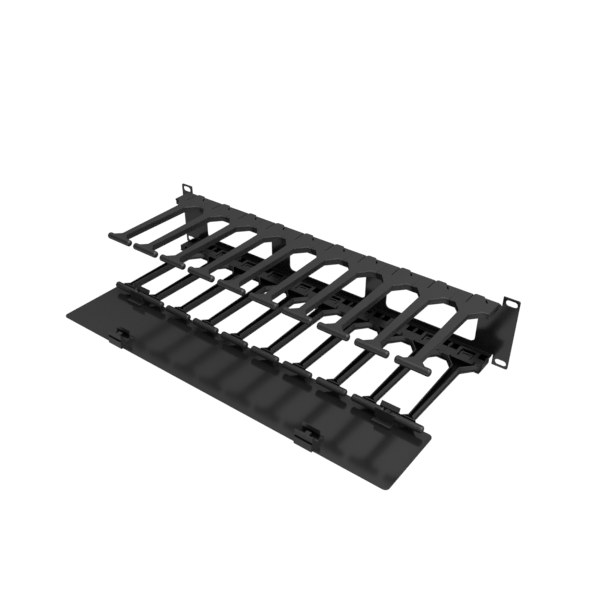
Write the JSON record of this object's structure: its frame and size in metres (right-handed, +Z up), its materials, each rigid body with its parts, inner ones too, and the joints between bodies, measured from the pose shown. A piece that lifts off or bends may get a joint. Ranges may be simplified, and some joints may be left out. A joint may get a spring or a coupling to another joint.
{
  "type": "horizontal cable manager",
  "caption": "Horizontal cable manager for a 19 inch rack: folded panel with T-shaped cable fingers above and below and a clip-on cover swung open.",
  "frame": {"origin": "middle of the front face of the rack ears, which is the centre of the four rack slots", "axes": "+X to the right seen from the front, +Y to the rear into the rack, +Z up; the fingers point to the front along -Y"},
  "size_m": [0.4826, 0.2277, 0.0907],
  "materials": {
    "painted_steel": "black powder coat, satin",
    "painted_cover": "black powder coat, smooth satin",
    "moulded_plastic": "black moulded, fine matt"
  },
  "bodies": {
    "rack_panel": {"back_panel": "painted_steel", "top_finger_01": "moulded_plastic", "top_finger_02": "moulded_plastic", "top_finger_03": "moulded_plastic", "top_finger_04": "moulded_plastic", "top_finger_05": "moulded_plastic", "top_finger_06": "moulded_plastic", "top_finger_07": "moulded_plastic", "top_finger_08": "moulded_plastic", "top_finger_09": "moulded_plastic", "top_finger_10": "moulded_plastic", "bottom_finger_01": "moulded_plastic", "bottom_finger_02": "moulded_plastic", "bottom_finger_03": "moulded_plastic", "bottom_finger_04": "moulded_plastic", "bottom_finger_05": "moulded_plastic", "bottom_finger_06": "moulded_plastic", "bottom_finger_07": "moulded_plastic", "bottom_finger_08": "moulded_plastic", "bottom_finger_09": "moulded_plastic", "bottom_finger_10": "moulded_plastic"},
    "cover": {"cover_panel": "painted_cover", "hinge_clip_left": "moulded_plastic", "hinge_clip_right": "moulded_plastic", "latch_clip_left": "moulded_plastic", "latch_clip_right": "moulded_plastic"}
  },
  "joints": [
    {"name": "cover_hinge", "type": "hinge", "parent": "rack_panel", "child": "cover", "pos_m": [0, -0.1466, -0.035], "axis": [-1, 0, 0], "range_deg": [-25, 90]}
  ]
}
